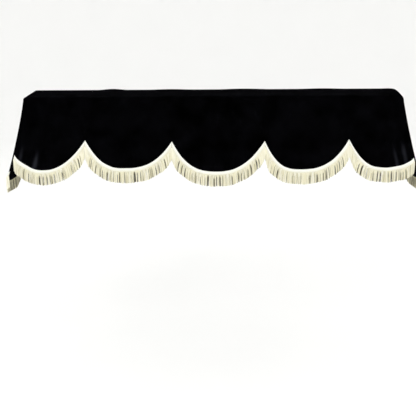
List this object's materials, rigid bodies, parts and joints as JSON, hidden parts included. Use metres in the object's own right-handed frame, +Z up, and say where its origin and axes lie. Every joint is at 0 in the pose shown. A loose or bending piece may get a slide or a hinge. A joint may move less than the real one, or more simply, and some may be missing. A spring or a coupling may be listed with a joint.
{
  "type": "piano top cover",
  "caption": "Fitted velvet cover for the top of an upright piano, with a scalloped front hem and scalloped ends edged in cream fringe; hollow below, it keeps dust off.",
  "frame": {"origin": "middle of the flat underside of the top panel, where the cover sits on what it covers", "axes": "+X along the cover's width, to the right as seen from the front; +Y from the scalloped front hem to the plain back; +Z up out of the top"},
  "size_m": [1.5834, 0.3129, 0.3783],
  "materials": {
    "velvet": "black short-pile velvet, matte with a faint sheen where folds turn",
    "fringe": "cream yarn fringe on a brighter woven header tape, soft satin"
  },
  "bodies": {
    "root": {"top_panel": "velvet", "front_panel": "velvet", "right_side_panel": "velvet", "back_panel": "velvet", "left_side_panel": "velvet", "front_fringe_1": "fringe", "front_fringe_2": "fringe", "front_fringe_3": "fringe", "front_fringe_4": "fringe", "front_fringe_5": "fringe", "right_side_fringe": "fringe", "left_side_fringe": "fringe"}
  },
  "joints": []
}
